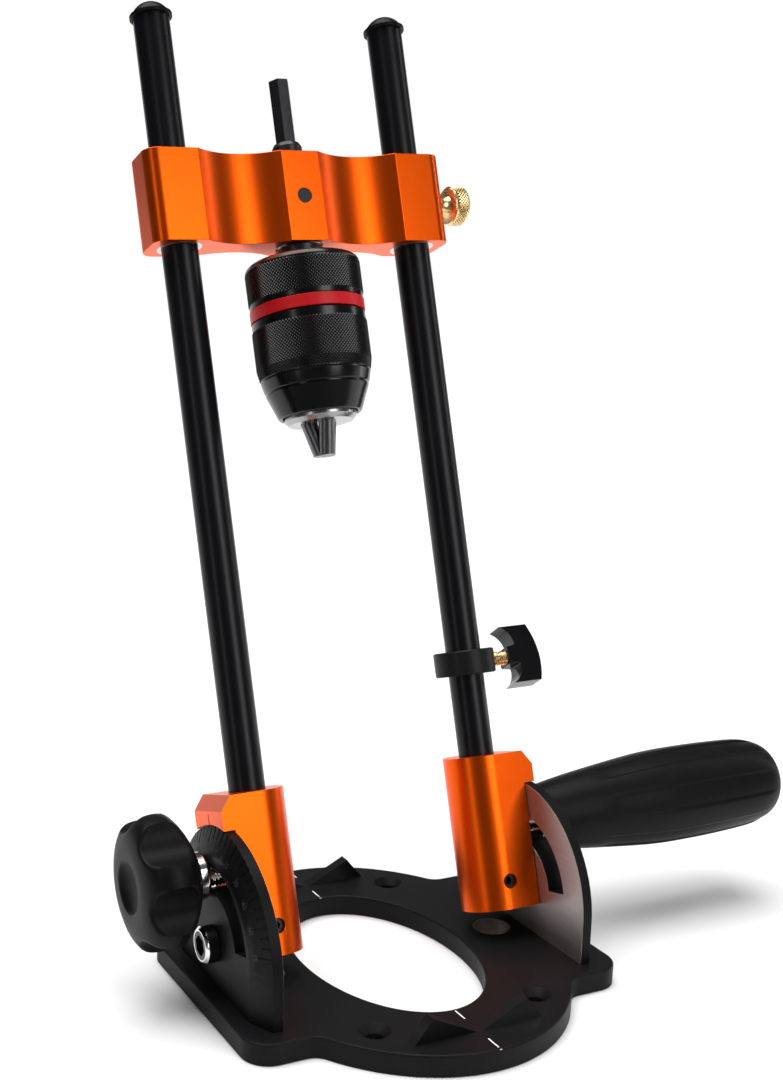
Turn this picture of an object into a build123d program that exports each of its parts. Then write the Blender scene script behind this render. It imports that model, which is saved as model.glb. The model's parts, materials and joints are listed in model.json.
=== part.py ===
from build123d import *
import os
from math import asin, atan2, cos, degrees, radians, sin, sqrt, tan

# Tilting drill guide with a keyless chuck.
# +Z is up and z = 0 is the underside of the base. The origin is the centre of the base opening.
# +X runs along the tilt axis, from the star knob to the side handle, and +Y points to the back.
# Parts that lean are modelled upright about the tilt axis, then leaned back by lean().

os.makedirs("parts", exist_ok=True)

# ---------------------------------------------------------------- driving dimensions, mm and degrees
# base plate
base_t = 7.0
base_rx, base_ry = 56.5, 72.2
opening_rx, opening_ry = 28.3, 45.2
wing_half_x, wing_half_y = 66.5, 43.0
wing_corner_r = 9.0
wing_root_r = 6.0
base_edge_r = 0.8
bolt_dx, bolt_dy = 57.0, 95.0
bolt_hole_d, bolt_sink_d = 5.5, 10.4
column_hole_gap = 0.3
fin_tip_x, fin_peak_x, fin_end_x = 1.0, 16.3, 22.4
fin_y0, fin_t, fin_h = 56.5, 4.0, 7.5
mark_w, mark_len, mark_depth = 0.7, 6.0, 0.25

# tilt axis and quadrants
pivot_z = 21.0
tilt_rest = 18.0
tilt_limit = 65.0
quadrant_in = 53.6
rim_t, bevel_t = 3.4, 3.8
quadrant_r, web_r = 36.6, 28.0
slot_r, slot_gap = 21.6, 0.3
tick_step, tick_last, tick_major = 5, 75, 15
tick_len, tick_major_len, tick_w, tick_depth = 3.6, 5.0, 0.5, 0.25
foot_screw_y, foot_screw_d, foot_screw_head_d, foot_screw_len = 22.0, 4.0, 8.0, 14.0
pivot_d, bush_od = 8.0, 11.0
pivot_head_d, pivot_head_h, pivot_socket = 12.0, 4.4, 6.0

# columns and tilt blocks
column_d, column_id, column_pitch = 12.0, 8.0, 86.0
column_top = 297.5
cap_d, cap_flange_t, cap_dome_r, cap_dome_h, cap_stem_len = 14.0, 1.2, 6.3, 4.0, 8.0
block_bottom, block_top, block_r = -6.0, 46.0, 11.6
ear_x, ear_low = 57.3, 35.0
ear_cut_x, ear_cut_z = 3.5, 4.8
index_w, index_depth, index_len = 0.6, 0.3, 6.4
set_screw_d, set_screw_len, set_screw_z, set_screw_socket = 5.0, 4.0, 3.4, 2.5

# clamp knob and side handle
stud_d = 8.0
washer_d, washer_t = 18.0, 2.0
star_washer_d, star_washer_t, star_washer_edge = 15.4, 4.2, 1.2
star_r, star_hub_r, star_back, star_front, star_nose = 22.5, 9.5, 8.5, 18.3, 21.3
star_lobes, scallop_r, scallop_depth, star_turn = 6, 9.2, 4.5, 21.0
dish_r, dish_depth = 8.2, 3.0
grip_len = 101.0
grip_profile = [(0.0, 10.9), (12.0, 12.8), (26.0, 14.5), (46.0, 16.5), (62.0, 16.9), (78.0, 16.6),
                (90.0, 15.8)]
grip_nose_r = 9.0
grip_flutes, flute_r, flute_depth = 6, 6.0, 0.7

# carriage
carriage_z, carriage_h, carriage_half_x, carriage_half_y = 222.0, 30.0, 53.9, 9.0
carriage_corner_r = 4.8
flat_inner_x, centre_flat_x, wave_depth = 36.0, 6.8, 4.5
bush_wall, column_bush_len = 1.5, 12.0
bearing_od, bearing_w, bearing_seat = 16.0, 5.0, 1.0
spindle_d = 8.0
spacer_id = 9.0
carriage_screw_d = 5.0
thumb_head_d, thumb_head_t, thumb_neck_d, thumb_reach = 13.6, 5.6, 7.0, 5.6

# spindle and chuck
flange_d, flange_t = 15.4, 4.4
shank_flats, shank_top = 6.35, 278.5
collar_d, collar_h, collar_taper = 10.2, 5.0, 1.4
thread_d, thread_len = 9.5, 15.0
chuck_r, chuck_top_r = 19.4, 14.2
rear_len, band_h, front_len = 15.2, 4.0, 32.8
sleeve_wall, sleeve_gap = 1.6, 0.3
rim_h, rim_step = 2.8, 0.35
taper_start, groove_h, groove_depth = 16.0, 24.0, 0.4
cone_top_r, nose_r = 17.4, 14.2
body_r, nose_body_r, nose_len = 13.6, 12.2, 2.4
jaw_d, jaw_angle, jaw_len, jaw_stick, jaw_tip_r = 5.4, 15.0, 27.0, 11.0, 1.15
jaw_gap, jaw_travel = 0.12, 18.0
nut_h = 8.0

# depth stop
stop_r, stop_h, stop_z = 10.3, 8.4, 73.6
stop_screw_d = 5.0
wing_hub_x, wing_half, wing_t, wing_turn = 59.0, 10.3, 7.0, 17.0

# fits
run_fit = 0.05
body_gap = 0.3

# ---------------------------------------------------------------- derived places
column_x = column_pitch / 2
rim_x = quadrant_in + rim_t
web_x = rim_x + bevel_t
block_x = quadrant_in - body_gap
slot_half = stud_d / 2 + slot_gap
slot_stop = tilt_limit + degrees(asin(slot_half / slot_r))
washer_x = web_x + body_gap
knob_x = washer_x + washer_t
star_x = washer_x + star_washer_t
carriage_top = carriage_z + carriage_h
carriage_mid = carriage_z + carriage_h / 2
bush_od_column = column_d + 2 * bush_wall
stud_inner_x = column_x + column_d / 2 + body_gap
chuck_top = carriage_z - flange_t - body_gap
band_top = chuck_top - rear_len
band_low = band_top - band_h
sleeve_low = band_low - front_len
nose_z = sleeve_low - nose_len
stop_mid = stop_z + stop_h / 2


# ---------------------------------------------------------------- helpers
def lean(shape):
    """Lean an upright part back about the tilt axis."""
    return Pos(0, 0, pivot_z) * Rot(-tilt_rest, 0, 0) * shape


def other_side(shape):
    return mirror(shape, about=Plane.YZ)


def prism(points, direction, length):
    """Closed polygon through 3-D points, extruded along direction."""
    return extrude(make_face(Polyline(*points, close=True)), amount=length, dir=direction)


def rod_x(r, x0, x1, y=0.0, z=0.0):
    return Pos((x0 + x1) / 2, y, z) * Rot(0, 90, 0) * Cylinder(r, abs(x1 - x0))


def rod_y(r, y0, y1, x=0.0, z=0.0):
    return Pos(x, (y0 + y1) / 2, z) * Rot(90, 0, 0) * Cylinder(r, abs(y1 - y0))


def rod_z(r, z0, z1, x=0.0, y=0.0):
    return Pos(x, y, (z0 + z1) / 2) * Cylinder(r, abs(z1 - z0))


def block(x0, x1, y0, y1, z0, z1):
    return Pos((x0 + x1) / 2, (y0 + y1) / 2, (z0 + z1) / 2) * Box(x1 - x0, y1 - y0, z1 - z0)


def turned(points, axis=Axis.Z):
    """Solid of revolution from (radius, height) points."""
    if axis == Axis.X:
        outline = [(h, 0, r) for r, h in points]
    else:
        outline = [(r, 0, h) for r, h in points]
    return revolve(make_face(Polyline(*outline, close=True)), axis=axis)


def dome_arc(radius, start, rise, axis_x=False):
    """Arc of a spherical cap from its rim to the axis; a negative rise makes a dish."""
    ball_r = (radius ** 2 + rise ** 2) / (2 * abs(rise))
    turn = asin(radius / ball_r) / 2
    way = 1 if rise > 0 else -1
    centre = start + rise - way * ball_r
    middle = (ball_r * sin(turn), centre + way * ball_r * cos(turn))
    points = [(radius, start), middle, (0, start + rise)]
    return ThreePointArc(*[(h, 0, r) if axis_x else (r, 0, h) for r, h in points])


def hex_z(flats, z0, z1):
    return Pos(0, 0, z0) * extrude(RegularPolygon(flats / 2, 6, major_radius=False), amount=z1 - z0)


def save(name, shape):
    export_step(shape, f"parts/{name}.step")


# ---------------------------------------------------------------- base
def base_outline():
    """Oval plate with a rounded wing under each quadrant."""
    plate = extrude(Ellipse(base_rx, base_ry) + Rectangle(2 * wing_half_x, 2 * wing_half_y), amount=base_t)
    uprights = plate.edges().filter_by(Axis.Z)
    roots = uprights.filter_by(lambda e: wing_root_r < abs(e.center().X) < wing_half_x - 1)
    plate = fillet(roots, wing_root_r)
    uprights = plate.edges().filter_by(Axis.Z)
    return fillet(uprights.filter_by(lambda e: abs(e.center().X) > wing_half_x - 1), wing_corner_r)


def fin(side, end):
    """Pointer fin on the top face; its tip points to the centre line."""
    top = base_t - 0.5
    profile = [(fin_tip_x, top), (fin_tip_x, base_t), (fin_peak_x, base_t + fin_h), (fin_end_x, base_t),
               (fin_end_x, top)]
    y = fin_y0 if end > 0 else -fin_y0 - fin_t
    return prism([(side * x, y, z) for x, z in profile], (0, 1, 0), fin_t)


def base_plate():
    plate = base_outline()
    plate -= extrude(Ellipse(opening_rx, opening_ry), amount=base_t)
    top_face = plate.faces().filter_by(Axis.Z).sort_by(Axis.Z)[-1]
    plate = fillet(top_face.edges(), base_edge_r)
    sink_h = (bolt_sink_d - bolt_hole_d) / 2
    for sx in (-1, 1):
        for sy in (-1, 1):
            x, y = sx * bolt_dx / 2, sy * bolt_dy / 2
            plate -= rod_z(bolt_hole_d / 2, -1, base_t + 1, x, y)
            plate -= Pos(x, y, base_t - sink_h / 2) * Cone(bolt_hole_d / 2, bolt_sink_d / 2, sink_h)
            foot = Pos(sx * (quadrant_in + web_x) / 2, sy * foot_screw_y, 0)
            plate -= foot * rod_z(foot_screw_d / 2, -1, base_t + 1)
            plate -= foot * countersunk_head()
        plate -= rod_z(column_d / 2 + column_hole_gap, -1, base_t + 1, sx * column_x)
        for sy in (-1, 1):
            plate += fin(sx, sy)
    outer_mark = base_ry - mark_len / 2 - 1.2
    inner_mark = opening_ry + mark_len / 2 + 1.0
    for y in (-outer_mark, -inner_mark, inner_mark, outer_mark):
        plate -= Pos(0, y, base_t) * Box(mark_w, mark_len, 2 * mark_depth)
    return plate


def countersunk_head():
    h = (foot_screw_head_d - foot_screw_d) / 2
    return Pos(0, 0, h / 2) * Cone(foot_screw_head_d / 2, foot_screw_d / 2, h)


def foot_screws():
    """Countersunk screws that hold the quadrants down from below."""
    screws = []
    for sx in (-1, 1):
        for sy in (-1, 1):
            screw = rod_z(foot_screw_d / 2, 0, foot_screw_len) + countersunk_head()
            screw -= hex_z(2.5, -1, 1.6)
            screws.append(Pos(sx * (quadrant_in + web_x) / 2, sy * foot_screw_y, 0) * screw)
    return Compound(children=screws)


def slot_sector(reach):
    """Annular slot for the clamp stud, about the tilt axis, cut through the quadrant."""
    x0, x1 = quadrant_in - 1, web_x + 1
    ring = rod_x(slot_r + slot_half, x0, x1) - rod_x(slot_r - slot_half, x0, x1)
    far = 2 * quadrant_r
    y, z = far * sin(radians(reach)), far * cos(radians(reach))
    wedge = [(x0, 0, 0), (x0, -y, z), (x0, -y, far), (x0, y, far), (x0, y, z)]
    return ring & prism(wedge, (1, 0, 0), x1 - x0)


def scale_tick(angle):
    """Groove on the bevel, radial about the tilt axis."""
    length = tick_major_len if angle % tick_major == 0 else tick_len
    slope = atan2(quadrant_r - web_r, bevel_t)
    slide = Vector(cos(slope), 0, -sin(slope))
    face = Vector(sin(slope), 0, cos(slope))
    start = Vector(rim_x, 0, quadrant_r)
    place = Plane(origin=start + slide * (length / 2), x_dir=slide, z_dir=face)
    return Rot(angle, 0, 0) * (place * Box(length, tick_w, 2 * tick_depth))


def quadrant():
    """Right quadrant: bevelled protractor plate standing on the wing of the base."""
    disc = turned([(0, quadrant_in), (quadrant_r, quadrant_in), (quadrant_r, rim_x), (web_r, web_x),
                   (0, web_x)], Axis.X)
    below = base_t - pivot_z
    foot = [(quadrant_in, -quadrant_r), (rim_x, -quadrant_r), (web_x, -web_r), (web_x, web_r),
            (rim_x, quadrant_r), (quadrant_in, quadrant_r)]
    plate = disc + prism([(x, y, below) for x, y in foot], (0, 0, 1), -below)
    plate -= block(quadrant_in - 1, web_x + 1, -quadrant_r, quadrant_r, -quadrant_r - 1, below)
    plate -= slot_sector(slot_stop)
    plate -= rod_x(bush_od / 2, quadrant_in - 1, web_x + 1)
    for angle in range(-tick_last, tick_last + 1, tick_step):
        plate -= scale_tick(angle)
    for sy in (-1, 1):
        hole_top = below + foot_screw_len - base_t + 1
        plate -= rod_z(foot_screw_d / 2, below - 1, hole_top, (quadrant_in + web_x) / 2, sy * foot_screw_y)
    return Pos(0, 0, pivot_z) * plate


def pivot_bush():
    bush = rod_x(bush_od / 2, quadrant_in, web_x) - rod_x(pivot_d / 2 + run_fit, quadrant_in - 1, web_x + 1)
    return Pos(0, 0, pivot_z) * bush


# ---------------------------------------------------------------- leaning frame
def tilt_block():
    """Right tilt block, upright: round about the column, flat outer side and an ear over the scale."""
    body = rod_z(block_r, block_bottom, block_top, column_x)
    body += block(column_x, block_x, -block_r, block_r, block_bottom, block_top)
    body -= block(block_x, ear_x, -block_r, block_r, block_bottom, block_top)
    ear = block(block_x - 1, ear_x, -block_r, block_r, ear_low, block_top)
    ear -= rod_x(quadrant_r + body_gap + 0.1, block_x, ear_x + 1)
    cut = [(ear_x - ear_cut_x, -block_r - 1, block_top + 1), (ear_x - ear_cut_x, -block_r - 1, block_top),
           (ear_x, -block_r - 1, block_top - ear_cut_z), (ear_x + 1, -block_r - 1, block_top - ear_cut_z),
           (ear_x + 1, -block_r - 1, block_top + 1)]
    body += ear - prism(cut, (0, 1, 0), 2 * block_r + 2)
    body -= Pos(ear_x, 0, ear_low + 2) * Box(2 * index_depth, index_w, index_len)
    body -= rod_z(column_d / 2, block_bottom - 1, block_top + 1, column_x)
    body -= rod_y(set_screw_d / 2, -block_r - 1, 0, column_x, set_screw_z)
    for z in (0, slot_r):
        body -= rod_x(stud_d / 2 + run_fit, column_x, block_x + 1, z=z)
    return body


def pivot_screw():
    """Low-head cap screw: its shank turns in the quadrant's bush and its end sits in the block."""
    head_x = web_x + body_gap
    head = rod_x(pivot_head_d / 2, head_x, head_x + pivot_head_h)
    rim = head.edges().filter_by(GeomType.CIRCLE).sort_by(Axis.X)[-1]
    head = chamfer(rim, 0.9)
    screw = head + rod_x(pivot_d / 2, stud_inner_x, head_x)
    socket = Rot(0, 90, 0) * hex_z(pivot_socket, head_x + 1.4, head_x + pivot_head_h + 1)
    return screw - socket


def column():
    tube = rod_z(column_d / 2, block_bottom + body_gap, column_top, column_x)
    return tube - rod_z(column_id / 2, block_bottom - 1, column_top + 1, column_x)


def column_cap():
    """Mushroom plug: stem, thin flange and a low dome."""
    z = column_top + cap_flange_t
    stem_r = column_id / 2
    low = column_top - cap_stem_len
    stem = Polyline((0, 0, low), (stem_r, 0, low), (stem_r, 0, column_top), (cap_d / 2, 0, column_top),
                    (cap_d / 2, 0, z), (cap_dome_r, 0, z))
    outline = stem + dome_arc(cap_dome_r, z, cap_dome_h) + Line((0, 0, z + cap_dome_h), (0, 0, low))
    return Pos(column_x, 0, 0) * revolve(make_face(outline), axis=Axis.Z)


def column_set_screws():
    screws = []
    for side in (-1, 1):
        y = -column_d / 2
        screw = rod_y(set_screw_d / 2, y - set_screw_len, y, side * column_x, set_screw_z)
        socket_place = Pos(side * column_x, y - set_screw_len + 2, set_screw_z) * Rot(90, 0, 0)
        screws.append(screw - socket_place * hex_z(set_screw_socket, 0, 3))
    return Compound(children=screws)


# ---------------------------------------------------------------- clamp knob and side handle
def clamp_stud(x_end):
    return rod_x(stud_d / 2, stud_inner_x, x_end, z=slot_r)


def clamp_washer():
    disc = rod_x(washer_d / 2, washer_x, knob_x, z=slot_r)
    return disc - rod_x(stud_d / 2, washer_x - 1, knob_x + 1, z=slot_r)


def star_washer():
    """Thick turned washer behind the star knob, chamfered towards the quadrant."""
    disc = rod_x(star_washer_d / 2, washer_x, star_x, z=slot_r)
    disc = chamfer(disc.edges().filter_by(GeomType.CIRCLE).group_by(Axis.X)[0], star_washer_edge)
    return disc - rod_x(stud_d / 2, washer_x - 1, star_x + 1, z=slot_r)


def star_grip():
    """Scalloped knob on the +X side, hub against the washer; mirrored into place."""
    lobe_back = star_x + star_back
    rim = star_x + star_front
    outline = [(star_x, 0, 0), (star_x, 0, star_hub_r), (star_x + 0.6, 0, star_hub_r)]
    flare = ThreePointArc(outline[-1], (star_x + 3.2, 0, star_hub_r + 6.6), (lobe_back, 0, star_r - 0.5))
    rim_line = Line((lobe_back, 0, star_r - 0.5), (rim - 3, 0, star_r))
    front = ThreePointArc((rim - 3, 0, star_r), (rim - 0.3, 0, star_r - 3.5),
                          (star_x + star_nose, 0, dish_r + 1.5))
    lip = Line((star_x + star_nose, 0, dish_r + 1.5), (star_x + star_nose, 0, dish_r))
    dish = dome_arc(dish_r, star_x + star_nose, -dish_depth, axis_x=True)
    axis_line = Line((star_x + star_nose - dish_depth, 0, 0), outline[0])
    half = Polyline(*outline) + flare + rim_line + front + lip + dish + axis_line
    knob = revolve(make_face(half), axis=Axis.X)
    reach = sqrt(star_r ** 2 - (scallop_r * 0.86) ** 2) - scallop_depth + scallop_r
    for i in range(star_lobes):
        turn = Rot(star_turn + (i + 0.5) * 360 / star_lobes, 0, 0)
        knob -= turn * rod_x(scallop_r, star_x - 1, star_x + star_nose + 1, z=reach)
    knob -= rod_x(stud_d / 2, star_x - 1, star_x + 12)
    return Pos(0, 0, slot_r) * knob


def side_grip():
    """Tapered grip with shallow flutes, on the +X side."""
    end = grip_profile[-1]
    side = Spline(*[(knob_x + x, 0, r) for x, r in grip_profile])
    tip_r = end[1] - grip_nose_r
    nose = ThreePointArc((knob_x + end[0], 0, end[1]),
                         (knob_x + end[0] + (grip_len - end[0]) * 0.72, 0, tip_r + grip_nose_r * 0.7),
                         (knob_x + grip_len, 0, tip_r))
    close = Polyline((knob_x + grip_len, 0, tip_r), (knob_x + grip_len, 0, 0), (knob_x, 0, 0),
                     (knob_x, 0, grip_profile[0][1]))
    grip = revolve(make_face(side + nose + close), axis=Axis.X)
    widest = max(r for _, r in grip_profile)
    for i in range(grip_flutes):
        turn = Rot((i + 0.5) * 360 / grip_flutes, 0, 0)
        grip -= turn * rod_x(flute_r, knob_x + 16, knob_x + grip_len + 1, z=widest - flute_depth + flute_r)
    grip -= rod_x(stud_d / 2, knob_x - 1, knob_x + 40)
    return Pos(0, 0, slot_r) * grip


# ---------------------------------------------------------------- carriage
def carriage_side(y_sign):
    """Edges of one long side, from +X to -X: flats at the bosses, a shallow wave between them."""
    y = y_sign * carriage_half_y
    dip = y_sign * (carriage_half_y - wave_depth)
    mid = (flat_inner_x + centre_flat_x) / 2
    return (Line((carriage_half_x, y), (flat_inner_x, y))
            + ThreePointArc((flat_inner_x, y), (mid, dip), (centre_flat_x, y))
            + Line((centre_flat_x, y), (-centre_flat_x, y))
            + ThreePointArc((-centre_flat_x, y), (-mid, dip), (-flat_inner_x, y))
            + Line((-flat_inner_x, y), (-carriage_half_x, y)))


def carriage_block():
    right_end = Line((carriage_half_x, -carriage_half_y), (carriage_half_x, carriage_half_y))
    outline = make_face(carriage_side(1) + carriage_side(-1) + right_end + mirror(right_end, about=Plane.YZ))
    body = Pos(0, 0, carriage_z) * extrude(outline, amount=carriage_h)
    corners = body.edges().filter_by(Axis.Z).filter_by(lambda e: abs(e.center().X) > carriage_half_x - 1)
    body = fillet(corners, carriage_corner_r)
    for side in (-1, 1):
        body -= rod_z(bush_od_column / 2, carriage_z - 1, carriage_top + 1, side * column_x)
    body -= rod_z(bearing_od / 2, carriage_z - 1, carriage_top + 1)
    body -= rod_y(carriage_screw_d / 2, -carriage_half_y - 1, 0, 0, carriage_mid)
    body -= rod_x(carriage_screw_d / 2 + run_fit, column_x, carriage_half_x + 1, z=carriage_mid)
    return body


def column_bushes(side):
    bushes = []
    for z in (carriage_z, carriage_top - column_bush_len):
        ring = rod_z(bush_od_column / 2, z, z + column_bush_len, side * column_x)
        bushes.append(ring - rod_z(column_d / 2 + run_fit, z - 1, z + column_bush_len + 1, side * column_x))
    return Compound(children=bushes)


def spindle_bearing(z):
    return rod_z(bearing_od / 2, z, z + bearing_w) - rod_z(spindle_d / 2 + run_fit, z - 1, z + bearing_w + 1)


def bearing_spacer(low, high):
    return rod_z(bearing_od / 2, low, high) - rod_z(spacer_id / 2, low - 1, high + 1)


def carriage_set_screw():
    """Set screw that holds the bearing spacer."""
    front = -carriage_half_y + 0.3
    screw = rod_y(carriage_screw_d / 2, front, -bearing_od / 2, 0, carriage_mid)
    curve = rod_z(bearing_od / 2, carriage_z, carriage_top)
    return screw - curve


def thumb_screw():
    """Brass lock screw, in line with the right column, between its two bushes."""
    x = carriage_half_x + body_gap
    head_x = carriage_half_x + thumb_reach
    head = rod_x(thumb_head_d / 2, head_x, head_x + thumb_head_t)
    head = chamfer(head.edges().filter_by(GeomType.CIRCLE), 0.6)
    neck_r = thumb_neck_d / 2
    neck = turned([(0, x), (neck_r, x), (neck_r - 0.9, x + 2.0), (neck_r, head_x), (0, head_x)], Axis.X)
    stud = rod_x(carriage_screw_d / 2, stud_inner_x, x)
    return Pos(0, 0, carriage_mid) * (head + neck + stud)


# ---------------------------------------------------------------- spindle and chuck
def spindle_shaft():
    """Threaded end, flange, journal and hexagon shank in one piece."""
    shaft = rod_z(thread_d / 2, chuck_top - thread_len, chuck_top)
    shaft += rod_z(flange_d / 2, chuck_top, chuck_top + flange_t)
    shaft += rod_z(spindle_d / 2, chuck_top + flange_t, carriage_top + collar_h)
    shank = hex_z(shank_flats, carriage_top + collar_h, shank_top)
    return shaft + shank


def spindle_collar():
    """Retaining collar above the carriage."""
    z = carriage_top + body_gap
    top = carriage_top + collar_h
    r = collar_d / 2
    ring = turned([(0, z), (r, z), (r, top - collar_taper), (r - collar_taper * 0.6, top), (0, top)])
    return ring - rod_z(spindle_d / 2, z - 1, top + 1)


def jaw_place(i):
    """Frame of a jaw: origin on its axis at the tip height, local +Z up and outward along its bore."""
    tip_z = nose_z - jaw_stick
    return Rot(0, 0, 120 * i - 90) * Pos(jaw_tip_r, 0, tip_z) * Rot(0, jaw_angle, 0)


def chuck_body():
    """Steel core: threaded at the top, bored for the three jaws, with a bare nose."""
    upper_low = nose_z + nose_len + 12.0
    body = turned([(0, nose_z), (nose_body_r - 1.4, nose_z), (nose_body_r, nose_z + 1.4),
                   (nose_body_r, upper_low), (body_r, upper_low + 4), (body_r, chuck_top), (0, chuck_top)])
    body -= rod_z(thread_d / 2, chuck_top - thread_len, chuck_top + 1)
    for i in range(3):
        body -= jaw_place(i) * rod_z(jaw_d / 2 + run_fit, -4, jaw_len + jaw_travel + 2)
    return body


def rear_sleeve():
    """Knurled rear sleeve, fixed to the body, with a rounded shoulder and a plain rim."""
    r = chuck_r
    z = band_top
    return turned([(body_r, z), (r - rim_step, z), (r - rim_step, z + rim_h), (r, z + rim_h + 0.4),
                   (r, chuck_top - 2.8), (r - 0.6, chuck_top - 1.3), (r - 2.0, chuck_top - 0.3),
                   (chuck_top_r, chuck_top), (body_r, chuck_top)])


def chuck_band():
    return rod_z(chuck_r - 0.15, band_low, band_top) - rod_z(body_r, band_low - 1, band_top + 1)


def jaw_outer_r(z):
    """Outer radius that the three jaws sweep at height z."""
    angle = radians(jaw_angle)
    return jaw_tip_r + (z - nose_z + jaw_stick) * tan(angle) + jaw_d / 2 / cos(angle)


def front_sleeve():
    """Turning front sleeve: plain rim, knurled barrel, smooth taper with a groove, and a cone."""
    top = band_low - sleeve_gap
    groove_z = band_low - groove_h
    outline = [(chuck_r - rim_step, top), (chuck_r - rim_step, top - rim_h), (chuck_r, top - rim_h - 0.4),
               (chuck_r, band_low - taper_start), (chuck_r - 0.9, band_low - taper_start - 4.2),
               (cone_top_r, groove_z + 0.4), (cone_top_r - groove_depth, groove_z),
               (cone_top_r - 0.2, groove_z - 0.4), (nose_r, sleeve_low + 0.8), (nose_r - 0.8, sleeve_low)]
    inner = [(nose_body_r + sleeve_gap, sleeve_low), (nose_body_r + sleeve_gap, sleeve_low + 11),
             (cone_top_r - sleeve_wall, sleeve_low + 13), (chuck_r - sleeve_wall, sleeve_low + 18),
             (chuck_r - sleeve_wall, top)]
    return turned(outline + inner)


def chuck_nut():
    """Threaded ring in the front sleeve that drives the jaws."""
    low = sleeve_low + 18
    top = low + nut_h
    r = chuck_r - sleeve_wall
    low_r = max(body_r, jaw_outer_r(low)) + body_gap
    return turned([(low_r, low), (r, low), (r, top), (jaw_outer_r(top) + body_gap, top)])


def jaw(i):
    """Round jaw in its slanted bore; two faces at 120 degrees keep it clear of the others."""
    tip_z = nose_z - jaw_stick
    blank = jaw_place(i) * rod_z(jaw_d / 2, -3, jaw_len)
    far = 40.0
    apex = jaw_gap / sin(radians(60))
    wedge = [(apex, 0), (apex + far, far * tan(radians(60))), (apex + far, -far * tan(radians(60)))]
    sector = prism([(x, y, tip_z) for x, y in wedge], (0, 0, 1), jaw_len + 5)
    return blank & (Rot(0, 0, 120 * i - 90) * sector)


# ---------------------------------------------------------------- depth stop
def stop_collar():
    ring = rod_z(stop_r, stop_z, stop_z + stop_h, column_x)
    ring = chamfer(ring.edges().filter_by(GeomType.CIRCLE), 0.4)
    ring -= rod_z(column_d / 2 + run_fit, stop_z - 1, stop_z + stop_h + 1, column_x)
    return ring - rod_x(stop_screw_d / 2 + run_fit, column_x, column_x + stop_r + 1, z=stop_mid)


def stop_stud():
    return rod_x(stop_screw_d / 2, stud_inner_x, wing_hub_x + 7, z=stop_mid)


def wing_knob():
    """Two-winged thumb knob, concave towards the collar."""
    x, h, y = wing_hub_x, wing_half, -wing_t / 2
    back = ThreePointArc((x + 10.1, y, h), (x + 12.2, y, 0), (x + 10.1, y, -h))
    lower = ThreePointArc((x - 0.9, y, -h), (x + 2.9, y, -h * 0.62), (x + 3.4, y, -3.4))
    upper = ThreePointArc((x + 3.4, y, 3.4), (x + 2.9, y, h * 0.62), (x - 0.9, y, h))
    hub = Polyline((x + 3.4, y, -3.4), (x, y, -3.0), (x, y, 3.0), (x + 3.4, y, 3.4))
    ends = Line((x + 10.1, y, -h), (x - 0.9, y, -h)) + Line((x - 0.9, y, h), (x + 10.1, y, h))
    knob = extrude(make_face(back + lower + upper + hub + ends), amount=wing_t, dir=(0, 1, 0))
    knob -= rod_x(stop_screw_d / 2, x - 1, x + 7)
    return Pos(0, 0, stop_mid) * Rot(-wing_turn, 0, 0) * knob


# ---------------------------------------------------------------- build every node
save("base_plate", base_plate())
save("quadrant_screws", foot_screws())
right_quadrant = quadrant()
save("right_quadrant", right_quadrant)
save("left_quadrant", other_side(right_quadrant))

pairs = {"pivot_bush": pivot_bush(), "tilt_block": lean(tilt_block()), "pivot_screw": lean(pivot_screw()),
         "column": lean(column()), "column_cap": lean(column_cap())}
for name, right_part in pairs.items():
    save(f"right_{name}", right_part)
    save(f"left_{name}", other_side(right_part))
save("column_set_screws", lean(column_set_screws()))

save("side_handle_grip", lean(side_grip()))
save("side_handle_stud", lean(clamp_stud(knob_x + 40)))
save("side_handle_washer", lean(clamp_washer()))
save("star_knob_grip", lean(other_side(star_grip())))
save("star_knob_stud", lean(other_side(clamp_stud(star_x + 12))))
save("star_knob_washer", lean(other_side(star_washer())))

low_bearing = carriage_z + bearing_seat
high_bearing = carriage_top - bearing_seat - bearing_w
save("carriage_block", lean(carriage_block()))
save("left_column_bushes", lean(column_bushes(-1)))
save("right_column_bushes", lean(column_bushes(1)))
save("lower_spindle_bearing", lean(spindle_bearing(low_bearing)))
save("upper_spindle_bearing", lean(spindle_bearing(high_bearing)))
save("bearing_spacer", lean(bearing_spacer(low_bearing + bearing_w, high_bearing)))
save("carriage_set_screw", lean(carriage_set_screw()))
save("thumb_screw", lean(thumb_screw()))

save("spindle_shaft", lean(spindle_shaft()))
save("spindle_collar", lean(spindle_collar()))
save("chuck_body", lean(chuck_body()))
save("chuck_rear_sleeve", lean(rear_sleeve()))
save("chuck_band", lean(chuck_band()))
save("chuck_front_sleeve", lean(front_sleeve()))
save("chuck_nut", lean(chuck_nut()))
for i in range(3):
    save(f"chuck_jaw_{i + 1}", lean(jaw(i)))

save("stop_collar", lean(stop_collar()))
save("stop_wing_knob", lean(wing_knob()))
save("stop_screw_stud", lean(stop_stud()))
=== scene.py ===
import json
from math import atan2, cos, pi, radians, sin, sqrt, tau

import bmesh
import bpy
from mathutils import Matrix, Vector

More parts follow.
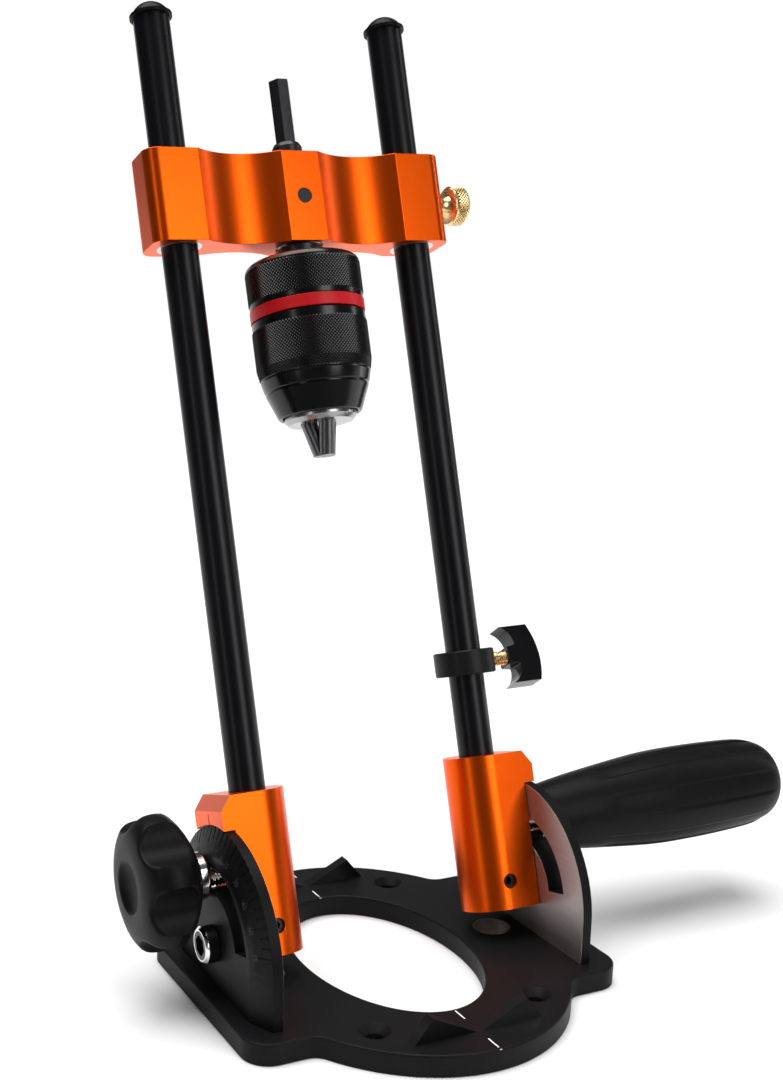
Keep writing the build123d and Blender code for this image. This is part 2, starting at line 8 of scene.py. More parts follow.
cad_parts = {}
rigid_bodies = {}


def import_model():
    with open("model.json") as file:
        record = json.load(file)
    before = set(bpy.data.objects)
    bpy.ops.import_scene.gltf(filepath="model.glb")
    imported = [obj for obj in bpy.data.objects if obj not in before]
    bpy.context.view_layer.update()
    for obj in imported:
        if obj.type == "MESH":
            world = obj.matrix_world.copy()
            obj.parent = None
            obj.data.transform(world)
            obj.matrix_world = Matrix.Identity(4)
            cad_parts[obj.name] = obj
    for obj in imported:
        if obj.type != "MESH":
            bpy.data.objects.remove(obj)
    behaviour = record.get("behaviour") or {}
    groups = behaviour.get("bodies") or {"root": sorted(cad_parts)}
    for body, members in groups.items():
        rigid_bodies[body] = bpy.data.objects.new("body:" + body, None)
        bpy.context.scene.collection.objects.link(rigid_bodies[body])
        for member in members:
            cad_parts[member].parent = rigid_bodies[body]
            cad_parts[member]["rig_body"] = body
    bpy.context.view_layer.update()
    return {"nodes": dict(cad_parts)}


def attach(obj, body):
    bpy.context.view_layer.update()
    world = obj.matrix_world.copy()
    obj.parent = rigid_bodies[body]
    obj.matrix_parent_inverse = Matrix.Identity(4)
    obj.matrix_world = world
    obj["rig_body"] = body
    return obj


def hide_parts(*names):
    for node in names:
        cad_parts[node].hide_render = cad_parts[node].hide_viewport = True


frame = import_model()

# ---------------------------------------------------------------- base plate
# An oval aluminium plate, milled with a wide oval opening, four countersunk fixing holes and pointer fins,
# then powder-coated black. The bores under the columns are cut after coating, so their walls are bare, and
# the short centre-line marks are engraved and filled with white paint.
mm = 0.001
base_edge = 0.35 * mm
mark_half_width = 0.40 * mm
mark_floor = 6.75 * mm
column_x = 43.0 * mm
column_bore = 6.45 * mm


class Wire:
    """One value or colour in a material. Arithmetic on it adds the Math nodes."""

    def __init__(self, finish, socket):
        self.finish, self.socket = finish, socket

    def math(self, operation, *values, clamp=False):
        return self.finish.node("ShaderNodeMath", {"operation": operation, "use_clamp": clamp}, values)

    def __add__(self, other):
        return self.math("ADD", self, other)

    def __sub__(self, other):
        return self.math("SUBTRACT", self, other)

    def __rsub__(self, other):
        return self.math("SUBTRACT", other, self)

    def __mul__(self, other):
        return self.math("MULTIPLY", self, other)

    def __abs__(self):
        return self.math("ABSOLUTE", self)

    def __gt__(self, limit):
        return self.math("GREATER_THAN", self, limit)

    def __lt__(self, limit):
        return self.math("LESS_THAN", self, limit)

    __radd__, __rmul__ = __add__, __mul__


class Nodes:
    """A node tree that is built one node at a time."""

    def __init__(self, tree):
        self.tree = tree

    def node(self, kind, settings=None, sockets=(), out=0):
        """Adds a node: its settings first, then its sockets in order, or by name from a dict."""
        made = self.tree.nodes.new(kind)
        for key, value in (settings or {}).items():
            setattr(made, key, value)
        for key, value in sockets.items() if isinstance(sockets, dict) else enumerate(sockets):
            self.feed(made.inputs[key], value)
        return Wire(self, made.outputs[out])

    def math_ramp(self, value, start, width):
        """0 below start, rising to 1 over the width."""
        return value.math("MULTIPLY", value - start, 1 / width, clamp=True)

    def feed(self, socket, value):
        if isinstance(value, Wire):
            self.tree.links.new(value.socket, socket)
        else:
            socket.default_value = (*value, 1) if socket.type == "RGBA" else value


class Finish(Nodes):
    """A material for one slot of the record, whose patterns follow the piece's own coordinates."""

    def __init__(self, name, slot, **fixed):
        self.slot = slot
        self.material = bpy.data.materials.new(name)
        self.material.use_nodes = True
        super().__init__(self.material.node_tree)
        self.shader = self.tree.nodes["Principled BSDF"]
        self.place = self.node("ShaderNodeTexCoord", out="Object")
        self.shade({key.replace("_", " "): value for key, value in fixed.items()})

    def shade(self, sockets):
        for key, value in sockets.items():
            self.feed(self.shader.inputs[key], value)

    def axis(self, letter):
        return self.node("ShaderNodeSeparateXYZ", sockets=[self.place], out=letter)

    def grain(self, size, detail=2.0, stretch=(1, 1, 1)):
        """Noise from 0 to 1 with lumps about one size across, drawn out where stretch is under 1."""
        where = self.node("ShaderNodeVectorMath", {"operation": "MULTIPLY"}, [self.place, stretch])
        return self.node("ShaderNodeTexNoise", sockets={"Vector": where, "Scale": 1 / size, "Detail": detail})

    def blend(self, share, low, high):
        """Colour that runs from low to high as share goes from 0 to 1."""
        return self.node("ShaderNodeMix", {"data_type": "RGBA"}, {0: share, 6: low, 7: high}, out=2)

    def relief(self, height, depth):
        self.shade({"Normal": self.node("ShaderNodeBump", sockets={"Height": height, "Distance": depth})})


def joined(node):
    """A CAD node's mesh with its loose triangles joined and its flat faces whole."""
    shape = bmesh.new()
    shape.from_mesh(frame["nodes"][node].data)
    bmesh.ops.remove_doubles(shape, verts=shape.verts, dist=0.002 * mm)
    bmesh.ops.dissolve_limit(shape, angle_limit=radians(0.2), verts=shape.verts, edges=shape.edges)
    return shape


def break_edges(shape, width, segments=2, where=lambda middle: True):
    """Rounds the sharp outside edges of a machined or moulded piece."""
    sharp = [edge for edge in shape.edges if len(edge.link_faces) == 2 and edge.is_convex
             and edge.calc_face_angle() > radians(30) and where((edge.verts[0].co + edge.verts[1].co) / 2)]
    bmesh.ops.bevel(shape, geom=sharp, offset=width, offset_type="OFFSET", segments=segments, profile=0.5,
                    affect="EDGES", material=-1, clamp_overlap=True)
    return shape


def piece(name, shape, finish, *stands_for, body=None, soft=35):
    """Makes a shape into a piece that rides on a body, and stands for the CAD nodes it is named with."""
    mesh = bpy.data.meshes.new(name)
    shape.to_mesh(mesh)
    shape.free()
    mesh.shade_smooth()
    mesh.set_sharp_from_angle(angle=radians(soft))
    mesh.materials.append(finish.material)
    made = bpy.data.objects.new(name, mesh)
    bpy.context.scene.collection.objects.link(made)
    made.modifiers.new("flats stay flat", "WEIGHTED_NORMAL").keep_sharp = True
    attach(made, body or frame["nodes"][stands_for[0]]["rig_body"])
    if stands_for:
        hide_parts(*stands_for)
    return made


base_coat = Finish("base_powder_coat", "base_coat", Specular_IOR_Level=0.10)
speckle = base_coat.grain(0.5 * mm, detail=3.0)
across, along, up = (base_coat.axis(letter) for letter in "XYZ")
in_mark = (abs(across) < mark_half_width) * (abs(up - mark_floor) < 0.06 * mm)
bore_side = abs(across) - column_x
in_bore = (bore_side * bore_side + along * along) < column_bore ** 2
coat_colour = base_coat.blend(base_coat.grain(9 * mm), (0.004, 0.004, 0.0045), (0.008, 0.008, 0.009))
coat_colour = base_coat.blend(in_bore, coat_colour, (0.55, 0.55, 0.54))
base_coat.shade({"Base Color": base_coat.blend(in_mark, coat_colour, (0.9, 0.9, 0.88)),
                 "Metallic": in_bore,
                 "Roughness": 0.40 + 0.14 * speckle - 0.12 * in_bore})
base_coat.relief(speckle, 0.022 * mm)


def not_a_mark(middle):
    return abs(middle.x) > 0.6 * mm or middle.z < mark_floor - 0.1 * mm


piece("base_plate_coated", break_edges(joined("base_plate"), base_edge, where=not_a_mark), base_coat,
      "base_plate")

# ---------------------------------------------------------------- quadrants
# Two aluminium protractor plates stand on the wings of the base. Each is coated black except for its inner
# face, ground bare after coating. The scale is engraved on the bevel, with a figure every 15 degrees.
tilt_axis_z = 21.0 * mm
quadrant_inner_x = 53.6 * mm
bevel_outer_x, bevel_outer_r = 57.0 * mm, 36.6 * mm
bevel_slope = atan2(8.6, 3.8)
figure_size = 2.5 * mm
figure_reach = 7.0 * mm
figure_step, figure_last = 15, 75

quadrant_coat = Finish("quadrant_powder_coat", "quadrant_coat", Specular_IOR_Level=0.10)
speckle = quadrant_coat.grain(0.45 * mm, detail=3.0)
bare = abs(quadrant_coat.axis("X")) < quadrant_inner_x + 0.05 * mm
brushing = quadrant_coat.grain(0.25 * mm, detail=4.0, stretch=(1, 0.03, 1))
bare_metal = quadrant_coat.blend(brushing, (0.50, 0.49, 0.49), (0.78, 0.77, 0.76))
quadrant_coat.shade({"Base Color": quadrant_coat.blend(bare, (0.005, 0.005, 0.0055), bare_metal),
                     "Metallic": bare,
                     "Roughness": 0.38 + 0.12 * speckle})
quadrant_coat.relief(speckle, 0.015 * mm)

engraved = Finish("engraved_figures", "quadrant_coat", Base_Color=(0.025, 0.025, 0.027), Roughness=0.6)
figures = bmesh.new()
for side, quadrant in ((-1, "left_quadrant"), (1, "right_quadrant")):
    piece(f"{quadrant}_coated", break_edges(joined(quadrant), 0.12 * mm, segments=1), quadrant_coat, quadrant)
    for angle in range(-figure_last, figure_last + 1, figure_step):
        text = bpy.data.curves.new("figure", "FONT")
        text.body, text.size, text.extrude = str(abs(angle)), figure_size, 0.04 * mm
        text.align_x = text.align_y = "CENTER"
        flat = bpy.data.meshes.new_from_object(bpy.data.objects.new("figure", text))
        outward = Vector((0, -sin(radians(angle)), cos(radians(angle))))
        sideways = Vector((side, 0, 0))
        inward = sideways * cos(bevel_slope) - outward * sin(bevel_slope)
        facing = sideways * sin(bevel_slope) + outward * cos(bevel_slope)
        middle = (sideways * bevel_outer_x + outward * bevel_outer_r + inward * figure_reach
                  + Vector((0, 0, tilt_axis_z)))
        turn = Matrix(((-inward).cross(facing), -inward, facing)).transposed().to_4x4()
        flat.transform(Matrix.Translation(middle) @ turn)
        figures.from_mesh(flat)
piece("scale_figures", figures, engraved, body="base")

# ---------------------------------------------------------------- pivot bushes and screws
# Each tilt block turns on a low-head cap screw in a steel bush. The screws are blackened, and the turned
# chamfer round each pivot screw's hexagon socket is left bright.
def coat(finish, *names):
    """Gives CAD nodes whose shape is right their finish."""
    for name in names:
        frame["nodes"][name].material_slots[0].material = finish.material


bush_steel = Finish("bush_turned_steel", "bush_steel", Base_Color=(0.62, 0.62, 0.60), Metallic=1.0)
bush_steel.shade({"Roughness": 0.22 + 0.2 * bush_steel.grain(0.3 * mm, stretch=(1, 1, 6))})
coat(bush_steel, "left_pivot_bush", "right_pivot_bush", "left_column_bushes", "right_column_bushes",
     "lower_spindle_bearing", "upper_spindle_bearing", "bearing_spacer", "chuck_nut")

black_oxide = Finish("screw_black_oxide", "black_screw", Metallic=0.6)
black_oxide.shade({"Base Color": black_oxide.blend(black_oxide.grain(1.2 * mm), (0.012, 0.012, 0.013),
                                                   (0.03, 0.03, 0.032)),
                   "Roughness": 0.30 + 0.15 * black_oxide.grain(0.3 * mm)})
coat(black_oxide, "quadrant_screws", "column_set_screws", "carriage_set_screw")

ring_x, ring_r = 64.55 * mm, 4.6 * mm
pivot_head = Finish("pivot_screw_black", "black_screw")
lift = pivot_head.axis("Z") - tilt_axis_z
depth = pivot_head.axis("Y")
bright = ((lift * lift + depth * depth) > ring_r ** 2) * (abs(pivot_head.axis("X")) > ring_x)
pivot_head.shade({"Base Color": pivot_head.blend(bright, (0.014, 0.014, 0.015), (0.85, 0.85, 0.85)),
                  "Metallic": 0.5 + 0.5 * bright,
                  "Roughness": 0.32 - 0.2 * bright})
for side in ("left", "right"):
    piece(f"{side}_pivot_cap_screw", break_edges(joined(f"{side}_pivot_screw"), 0.12 * mm), pivot_head,
          f"{side}_pivot_screw")

# ---------------------------------------------------------------- tilt blocks and carriage
# Extruded and milled aluminium, bead-blasted and anodised orange. The blasting leaves a fine even grain, and
# the edges are lightly broken before anodising.
anodised = Finish("orange_bead_blast_anodised", "orange_anodised", Metallic=0.95)
blast = anodised.grain(0.16 * mm, detail=2.0)
anodised.shade({"Base Color": anodised.blend(anodised.grain(0.35 * mm, detail=3.0), (0.82, 0.088, 0.002),
                                             (0.96, 0.118, 0.004)),
                "Roughness": 0.27 + 0.10 * blast})
anodised.relief(blast, 0.007 * mm)
for node in ("left_tilt_block", "right_tilt_block", "carriage_block"):
    piece(f"{node}_anodised", break_edges(joined(node), 0.3 * mm), anodised, node)

# ---------------------------------------------------------------- columns
# Two steel tubes, polished and blackened, each closed with a pressed-in black plug. The polishing leaves
# faint lines along the tube.
tilt = radians(18)
leaned = Matrix.Translation((0, 0, tilt_axis_z)) @ Matrix.Rotation(-tilt, 4, "X")


def upright(finish):
    """The piece's coordinates turned back, so that a pattern can follow the columns."""
    back = leaned.inverted().translation
    return finish.node("ShaderNodeMapping", sockets={"Vector": finish.place, "Location": back,
                                                     "Rotation": (tilt, 0, 0)})


column_black = Finish("column_black_oxide", "column_black", Specular_IOR_Level=0.22)
column_black.place = upright(column_black)
lines = column_black.grain(0.5 * mm, detail=4.0, stretch=(1, 1, 0.02))
column_black.shade({"Base Color": column_black.blend(lines, (0.002, 0.002, 0.003), (0.005, 0.005, 0.007)),
                    "Roughness": 0.24 + 0.10 * lines + 0.08 * column_black.grain(6 * mm)})
coat(column_black, "left_column", "right_column")

moulded = Finish("moulded_black_plastic", "plastic_black", Specular_IOR_Level=0.10)
pebble = moulded.grain(0.32 * mm, detail=2.5)
moulded.shade({"Base Color": moulded.blend(moulded.grain(4 * mm), (0.003, 0.003, 0.0034),
                                           (0.006, 0.006, 0.0065)),
               "Roughness": 0.36 + 0.12 * pebble})
moulded.relief(pebble, 0.02 * mm)
for side in ("left", "right"):
    piece(f"{side}_column_plug", break_edges(joined(f"{side}_column_cap"), 0.15 * mm), moulded,
          f"{side}_column_cap", soft=40)

# ---------------------------------------------------------------- side handle and star knob
# Both are moulded in black plastic round a steel stud, with a fine grain from the mould, and bear on a bright
# zinc-plated washer. The handle has six shallow flutes and the star knob six lobes and a dished front.
seat_x = 63.1 * mm
stud_lift = 21.6 * mm
to_right = Matrix.Rotation(pi / 2, 4, "Y")
to_left = Matrix.Rotation(-pi / 2, 4, "Y")


def curve_through(points, per_span):
    """Points along a smooth line through the given (radius, height) points."""
    ends = [points[0], *points, points[-1]]
    line = []
    for before, a, b, after in zip(ends, ends[1:], ends[2:], ends[3:]):
        for i in range(per_span):
            t = i / per_span
            line.append(tuple(0.5 * (2 * q + (r - p) * t + (2 * p - 5 * q + 4 * r - s) * t ** 2
                                     + (3 * q - p - 3 * r + s) * t ** 3)
                              for p, q, r, s in zip(before, a, b, after)))
    return line + [points[-1]]


def spun(outline, steps=96, loop=False):
    """Spins an outline of (radius, height) points in mm about the upright axis into a closed shape."""
    shape = bmesh.new()
    line = [shape.verts.new((r * mm, 0, z * mm)) for r, z in outline]
    edges = [shape.edges.new(pair) for pair in zip(line, line[1:] + line[:loop])]
    bmesh.ops.spin(shape, geom=line + edges, cent=(0, 0, 0), axis=(0, 0, 1), angle=tau, steps=steps,
                   use_merge=True)
    bmesh.ops.remove_doubles(shape, verts=shape.verts, dist=0.002 * mm)
    bmesh.ops.recalc_face_normals(shape, faces=shape.faces)
    return shape


def put(shape, *matrices):
    """Places a shape; the last matrix given acts first."""
    whole = Matrix.Identity(4)
    for matrix in matrices:
        whole = whole @ matrix
    bmesh.ops.transform(shape, matrix=whole, verts=shape.verts)
    return shape


def soften(low, high, value):
    """A smooth step from 0 to 1 as value passes from low to high."""
    t = min(max((value - low) / (high - low), 0), 1)
    return t * t * (3 - 2 * t)


grip = spun([(0, 0)] + [(r, z) for z, r in curve_through(
    [(0, 10.9), (12, 12.8), (26, 14.5), (46, 16.5), (62, 16.9), (78, 16.6), (90, 15.85), (96.4, 14.1),
     (99.4, 11.9), (100.5, 9.2), (100.9, 5.8)], 6)] + [(3.0, 101.0), (2.6, 100.4), (0, 100.4)], steps=216)
flute_count, flute_depth, flute_width = 6, 0.55, 0.27
for vert in grip.verts:
    radius = sqrt(vert.co.x ** 2 + vert.co.y ** 2) / mm
    if radius > 8:
        height = vert.co.z / mm
        turn = (atan2(vert.co.y, vert.co.x) * flute_count / tau) % 1
        groove = (soften(flute_width, flute_width - 0.04, abs(turn - 0.5)) * soften(20, 28, height)
                  * soften(97, 90, height))
        vert.co.xy *= 1 - flute_depth * groove / radius
put(grip, leaned, Matrix.Translation((seat_x, 0, stud_lift)), to_right)
piece("side_handle_moulding", grip, moulded, "side_handle_grip", soft=50)

lobe_count, scallop_r, scallop_out, blend_width = 6, 9.2, 25.9, 1.6
lobe_turn, hub_r = radians(9), 9.0
star_x = 65.3 * mm
star_front = curve_through([(8.9, 21.3), (13.0, 21.1), (17.2, 20.0), (20.3, 18.0), (21.9, 15.4),
                            (22.45, 12.0), (22.1, 9.3)], 8)
star = spun([(0, 18.4), (2.5, 18.5), (4.8, 18.9), (6.6, 19.6), (7.8, 20.4), (8.3, 21.0)] + star_front
            + curve_through([(22.1, 9.3), (21.1, 7.5), (18.8, 5.3), (15.6, 3.1), (12.2, 1.3), (9.8, 0.4)], 5)
            + [(9.4, 0), (0, 0)], steps=216)
for vert in star.verts:
    radius = sqrt(vert.co.x ** 2 + vert.co.y ** 2) / mm
    share = (atan2(vert.co.y, vert.co.x) - lobe_turn) % (tau / lobe_count)
    off = min(share, tau / lobe_count - share)
    chord = scallop_out * sin(off)
    if radius > hub_r and chord < scallop_r:
        limit = scallop_out * cos(off) - sqrt(scallop_r ** 2 - chord ** 2)
        near = max(blend_width - abs(radius - limit), 0) / blend_width
        wanted = min(radius, limit) - near * near * blend_width / 4
        vert.co.xy *= max(wanted, hub_r) / radius
put(star, leaned, Matrix.Translation((-star_x, 0, stud_lift)), to_left)
piece("star_knob_moulding", star, moulded, "star_knob_grip", soft=40)

zinc = Finish("bright_zinc_plate", "zinc_steel", Base_Color=(0.80, 0.80, 0.82), Metallic=1.0)
zinc.shade({"Roughness": 0.10 + 0.12 * zinc.grain(0.6 * mm, detail=3.0)})
for name in ("side_handle_washer", "star_knob_washer"):
    piece(f"{name}_zinc", break_edges(joined(name), 0.35 * mm, segments=3), zinc, name)


def thread(shape, radius, pitch, depth, low, high):
    """Cuts a helical thread into a spun rod between two heights, all in mm."""
    for vert in shape.verts:
        height = vert.co.z / mm
        if low < height < high and sqrt(vert.co.x ** 2 + vert.co.y ** 2) / mm > radius * 0.8:
            phase = (height / pitch - atan2(vert.co.y, vert.co.x) / tau) % 1
            vert.co.xy *= 1 - depth * (1 - abs(2 * phase - 1)) / radius
    return shape


def threaded_rod(radius, length, pitch, depth, steps=32):
    """A rod from height 0 up, chamfered and threaded all along."""
    chamfer, run_in, rows_per_turn = 0.4, 0.3, 6
    rows = int(length / pitch * rows_per_turn)
    crests = [(radius, chamfer + (length - 2 * chamfer) * i / rows) for i in range(rows + 1)]
    outline = [(0, 0), (radius - depth, 0)] + crests + [(radius - depth, length), (0, length)]
    return thread(spun(outline, steps=steps), radius, pitch, depth, run_in, length - run_in)


stud_r, stud_pitch, stud_groove, stud_start_x = 4.0, 1.25, 0.6, 49.3 * mm
for name, side, way, length in (("side_handle_stud", 1, to_right, 53.8),
                                ("star_knob_stud", -1, to_left, 28.0)):
    rod = put(threaded_rod(stud_r, length, stud_pitch, stud_groove), leaned,
              Matrix.Translation((side * stud_start_x, 0, stud_lift)), way)
    piece(f"{name}_threaded", rod, zinc, name, soft=60)

# ---------------------------------------------------------------- thumb screw
# A brass lock screw in the end of the carriage, with a waisted neck and a diamond-knurled head.
def diamond_knurl(shape, low, high, pitch, depth, steps):
    """Presses a diamond knurl into the rings of a spun shape between two heights, in mm.
    Every other corner of the net goes in, and each patch is split between its two low corners."""
    shape.verts.ensure_lookup_table()
    rows = (high - low) / (pitch / 2)
    raised, zone = set(), set()
    for vert in shape.verts:
        row = (vert.co.z / mm - low) / (pitch / 2)
        column = round(atan2(vert.co.y, vert.co.x) * steps / tau)
        if -0.01 < row < rows + 0.01 and vert.co.xy.length > 1.5 * mm:
            zone.add(vert)
            inside = 0.5 < row < rows - 0.5
            if (round(row) + column) % 2 == 0 and inside:
                raised.add(vert)
            else:
                vert.co.xy *= 1 - depth * mm / vert.co.xy.length
    patches = [face for face in shape.faces if len(face.verts) == 4 and all(v in zone for v in face.verts)]
    for face in patches:
        corners = list(face.verts)
        peaks = [i for i, vert in enumerate(corners) if vert in raised]
        if peaks:
            bmesh.utils.face_split(face, corners[(peaks[0] + 1) % 4], corners[(peaks[0] + 3) % 4])
    return shape


def rings(outline, low, high, pitch):
    """The outline's points from low to high as evenly spaced rings for a knurl; heights may only rise."""
    count = round((high - low) / (pitch / 2))
    made = []
    for i in range(count + 1):
        z = low + (high - low) * i / count
        for (r0, z0), (r1, z1) in zip(outline, outline[1:]):
            if z0 <= z <= z1 and z1 > z0:
                made.append((r0 + (r1 - r0) * (z - z0) / (z1 - z0), z))
                break
    return made


brass = Finish("turned_brass", "brass", Metallic=1.0)
brass.shade({"Base Color": brass.blend(brass.grain(1.5 * mm), (0.78, 0.54, 0.25), (0.92, 0.70, 0.38)),
             "Roughness": 0.20 + 0.14 * brass.grain(0.3 * mm)})
head_pitch = 1.2
head_steps = 72
head_low, head_high = 6.7, 10.7
head_side = rings([(6.8, 0), (6.8, 30)], head_low, head_high, head_pitch)
screw = spun([(0, 0.3), (3.0, 0.3), (3.5, 0.6), (3.5, 1.2), (2.8, 2.2), (2.7, 3.2), (2.9, 4.4), (3.4, 5.4),
              (4.2, 5.6), (6.1, 5.6), (6.6, 6.1)] + head_side
             + [(6.1, 11.2), (3.4, 11.2), (2.8, 10.8), (0, 10.8)], steps=head_steps)
diamond_knurl(screw, head_low, head_high, head_pitch, 0.32, head_steps)
thumb_lift, carriage_end_x, shank_start_x = 237 * mm, 53.9 * mm, 49.4 * mm
put(screw, leaned, Matrix.Translation((carriage_end_x, 0, thumb_lift)), to_right)
shank = threaded_rod(2.5, 4.8, 0.8, 0.35)
put(shank, leaned, Matrix.Translation((shank_start_x, 0, thumb_lift)), to_right)
shank_mesh = bpy.data.meshes.new("shank")
shank.to_mesh(shank_mesh)
shank.free()
screw.from_mesh(shank_mesh)
piece("thumb_screw_knurled", screw, brass, "thumb_screw", soft=20)

# ---------------------------------------------------------------- spindle and keyless chuck
# A blackened spindle with a hexagon shank carries a keyless chuck: a rear sleeve fixed to the body, a plain
# red band, and a front sleeve that turns to drive the three jaws. Both sleeves have a fine diamond knurl.
spindle_black = Finish("spindle_black_oxide", "spindle_black", Metallic=0.7)
spindle_black.shade({"Base Color": spindle_black.blend(spindle_black.grain(2 * mm), (0.02, 0.02, 0.022),
                                                       (0.045, 0.045, 0.05)),
                     "Roughness": 0.26 + 0.14 * spindle_black.grain(0.3 * mm)})
for name in ("spindle_shaft", "spindle_collar"):
    piece(f"{name}_blackened", break_edges(joined(name), 0.2 * mm), spindle_black, name)

sleeve_black = Finish("sleeve_gloss_black", "chuck_black", Specular_IOR_Level=0.35)
sleeve_black.shade({"Base Color": sleeve_black.blend(sleeve_black.grain(3 * mm), (0.002, 0.002, 0.0025),
                                                     (0.004, 0.004, 0.005)),
                    "Roughness": 0.17 + 0.10 * sleeve_black.grain(0.4 * mm)})
knurl_pitch, knurl_depth, knurl_steps = 1.2, 0.34, 204
chuck_top, band_top, band_low, sleeve_low = 217.3, 202.1, 198.1, 165.3
rear_low, rear_high = band_top + 1.6, chuck_top - 2.4
rear_rings = rings([(19.4, band_top), (19.4, chuck_top)], rear_low, rear_high, knurl_pitch)
rear = spun([(13.6, band_top), (18.75, band_top), (19.05, band_top + 0.3), (19.05, band_top + 1.2)]
            + rear_rings
            + [(19.2, chuck_top - 2.1), (18.8, chuck_top - 1.3), (18.1, chuck_top - 0.7),
               (17.2, chuck_top - 0.3), (15.6, chuck_top - 0.1), (14.2, chuck_top), (13.6, chuck_top)],
            steps=knurl_steps, loop=True)
diamond_knurl(rear, rear_low, rear_high, knurl_pitch, knurl_depth, knurl_steps)
piece("rear_sleeve_knurled", put(rear, leaned), sleeve_black, "chuck_rear_sleeve", soft=24)

front_top = band_low - 0.3
front_low, front_high = 178.6, front_top - 2.6
front_rings = rings([(18.65, front_low), (19.4, 182.3), (19.4, 200.0)], front_low, front_high, knurl_pitch)
front = spun([(13.4, sleeve_low), (12.7, sleeve_low + 0.3), (12.5, sleeve_low + 11), (15.8, sleeve_low + 13),
              (17.8, sleeve_low + 18), (17.8, front_top), (18.75, front_top), (19.05, front_top - 0.3),
              (19.05, front_top - 2.2)] + front_rings[::-1]
             + [(18.45, 178.0), (17.62, 174.9), (17.35, 174.5), (17.0, 174.25), (17.0, 173.9),
                (17.25, 173.6), (15.6, 169.6), (14.3, 166.3), (13.9, sleeve_low + 0.25)],
             steps=knurl_steps, loop=True)
diamond_knurl(front, front_low, front_high, knurl_pitch, knurl_depth, knurl_steps)
piece("front_sleeve_knurled", put(front, leaned), sleeve_black, "chuck_front_sleeve", soft=24)

band_red = Finish("band_satin_red", "band_red", Specular_IOR_Level=0.25)
band_red.shade({"Base Color": band_red.blend(band_red.grain(2 * mm), (0.55, 0.006, 0.010),
                                             (0.66, 0.010, 0.015)),
                "Roughness": 0.35 + 0.1 * band_red.grain(0.3 * mm)})
piece("chuck_band_red", break_edges(joined("chuck_band"), 0.2 * mm), band_red, "chuck_band")

core_steel = Finish("chuck_bare_steel", "chuck_core", Metallic=1.0)
core_steel.shade({"Base Color": core_steel.blend(core_steel.grain(1.5 * mm), (0.28, 0.28, 0.29),
                                                 (0.46, 0.46, 0.46)),
                  "Roughness": 0.18 + 0.16 * core_steel.grain(0.3 * mm)})
piece("chuck_nose_and_core", break_edges(joined("chuck_body"), 0.15 * mm), core_steel, "chuck_body")

jaw_steel = Finish("jaw_ground_steel", "jaw_steel", Metallic=1.0)
jaw_steel.place = upright(jaw_steel)
jaw_steel.shade({"Base Color": jaw_steel.blend(jaw_steel.grain(1.0 * mm, stretch=(1, 1, 0.3)),
                                               (0.10, 0.10, 0.105), (0.22, 0.22, 0.225)),
                 "Roughness": 0.24 + 0.18 * jaw_steel.grain(0.2 * mm, stretch=(1, 1, 0.2))})
for name in ("chuck_jaw_1", "chuck_jaw_2", "chuck_jaw_3"):
    piece(f"{name}_ground", break_edges(joined(name), 0.15 * mm), jaw_steel, name)

# ---------------------------------------------------------------- depth stop
# A black collar on the right column, locked by a threaded brass stud with a two-winged moulded knob.
collar_black = Finish("collar_black_anodised", "collar_black", Specular_IOR_Level=0.2)
fleck = collar_black.grain(0.5 * mm, detail=3.0)
collar_black.shade({"Base Color": collar_black.blend(fleck, (0.004, 0.004, 0.004), (0.010, 0.010, 0.010)),
                    "Roughness": 0.36 + 0.14 * fleck})
collar_black.relief(fleck, 0.02 * mm)
piece("stop_collar_anodised", break_edges(joined("stop_collar"), 0.2 * mm), collar_black, "stop_collar")
glossy = Finish("glossy_black_plastic", "plastic_black", Specular_IOR_Level=0.5)
glossy.shade({"Base Color": glossy.blend(glossy.grain(4 * mm), (0.003, 0.003, 0.0034), (0.005, 0.005, 0.006)),
              "Roughness": 0.13 + 0.08 * glossy.grain(1.5 * mm)})
piece("stop_wing_moulding", break_edges(joined("stop_wing_knob"), 0.8 * mm, segments=4), glossy,
      "stop_wing_knob", soft=50)
stop_stud_x, stop_lift = 49.3 * mm, 77.8 * mm
stop_stud = put(threaded_rod(2.5, 16.7, 0.9, 0.42), leaned, Matrix.Translation((stop_stud_x, 0, stop_lift)),
                to_right)
piece("stop_stud_threaded", stop_stud, brass, "stop_screw_stud", soft=60)

# ---------------------------------------------------------------- floor, light and camera
# A dark studio with a white paper floor that runs away behind the object, a high soft light, a soft box in
# front and a strip on each side. The camera stands in front and to the left.
backwards = Vector((0.4045, 0.9145, 0)).normalized()
paper_start = -0.16

floor_finish = Finish("paper_and_dark_floor", "none", Roughness=0.9, Specular_IOR_Level=0.2)
depth = floor_finish.node("ShaderNodeVectorMath", {"operation": "DOT_PRODUCT"},
                          [floor_finish.place, backwards], out="Value")
paper = floor_finish.math_ramp(depth, paper_start, 0.08)
floor_finish.shade({"Base Color": floor_finish.blend(paper, (0.10, 0.10, 0.10), (0.88, 0.88, 0.88))})
floor_shape = bmesh.new()
bmesh.ops.create_circle(floor_shape, cap_ends=True, segments=64, radius=6.0)
bmesh.ops.translate(floor_shape, verts=floor_shape.verts, vec=(0, 0, -0.3 * mm))
floor_mesh = bpy.data.meshes.new("studio_floor")
floor_shape.to_mesh(floor_mesh)
floor_shape.free()
floor_mesh.materials.append(floor_finish.material)
studio_floor = bpy.data.objects.new("studio_floor", floor_mesh)
bpy.context.scene.collection.objects.link(studio_floor)

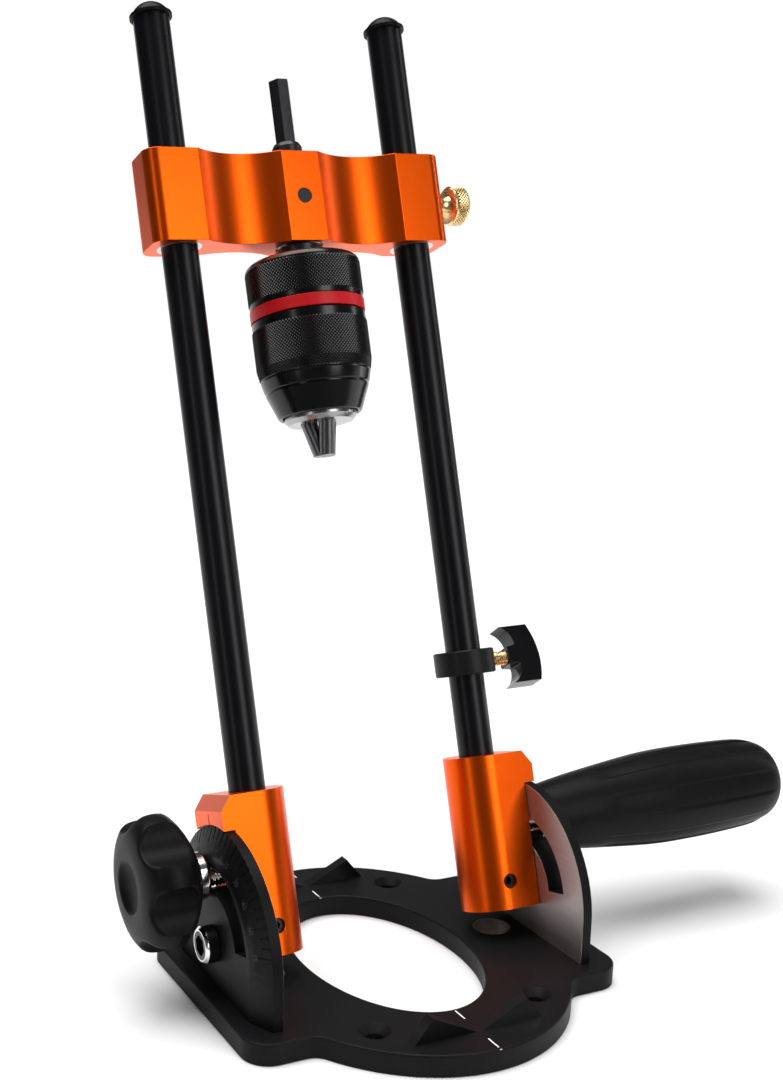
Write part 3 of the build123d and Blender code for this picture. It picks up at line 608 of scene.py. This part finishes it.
sky = bpy.data.worlds.new("studio_sky")
sky.use_nodes = True
dome = Nodes(sky.node_tree)
direction = dome.node("ShaderNodeTexCoord", out="Generated")
height = dome.node("ShaderNodeSeparateXYZ", sockets=[direction], out="Z")
towards_back = dome.node("ShaderNodeVectorMath", {"operation": "DOT_PRODUCT"}, [direction, backwards],
                         out="Value")
backdrop = dome.math_ramp(towards_back, 0.76, 0.06) * dome.math_ramp(-1 * height, -0.24, 0.08)
sky_colour = dome.node("ShaderNodeMix", {"data_type": "RGBA"},
                       {0: backdrop, 6: (0.05, 0.05, 0.053), 7: (1, 1, 1)}, out=2)
dome.feed(sky.node_tree.nodes["Background"].inputs["Color"], sky_colour)
bpy.context.scene.world = sky
bpy.context.scene.view_settings.view_transform = "Standard"

sun = bpy.data.lights.new("overhead", "SUN")
sun.energy, sun.angle = 3.9, radians(60)
sun_holder = bpy.data.objects.new("overhead", sun)
sun_holder.rotation_euler = (radians(-8), radians(-6), 0)
bpy.context.scene.collection.objects.link(sun_holder)

light_aim = Vector((0, 0.03, 0.15))
for name, spot, wide, tall, power in (("front_box", (0.36, -1.06, 0.62), 0.48, 0.95, 6.0),
                                      ("left_strip", (-1.0, -0.52, 0.45), 0.12, 1.0, 1.2),
                                      ("right_strip", (1.05, -0.05, 0.5), 0.12, 1.0, 1.5)):
    lamp = bpy.data.lights.new(name, "AREA")
    lamp.shape, lamp.size, lamp.size_y, lamp.energy = "RECTANGLE", wide, tall, power
    holder = bpy.data.objects.new(name, lamp)
    holder.location = spot
    holder.rotation_euler = (light_aim - Vector(spot)).to_track_quat("-Z", "Y").to_euler()
    bpy.context.scene.collection.objects.link(holder)

lens = bpy.data.cameras.new("camera")
lens.sensor_width, lens.lens = 36.0, 51.89
lens.shift_x, lens.shift_y = 0.1219, 0.1040
lens.clip_start, lens.clip_end = 0.01, 100.0
camera = bpy.data.objects.new("camera", lens)
camera_spot = Vector((-0.2352, -0.4147, 0.2371))
right_way = Vector((0.90963783, -0.41537813, 0.00447445))
up_way = Vector((0.10414159, 0.23846091, 0.96555213))
camera.matrix_world = (Matrix.Translation(camera_spot)
                       @ Matrix((right_way, up_way, right_way.cross(up_way))).transposed().to_4x4())
bpy.context.scene.collection.objects.link(camera)
bpy.context.scene.camera = camera
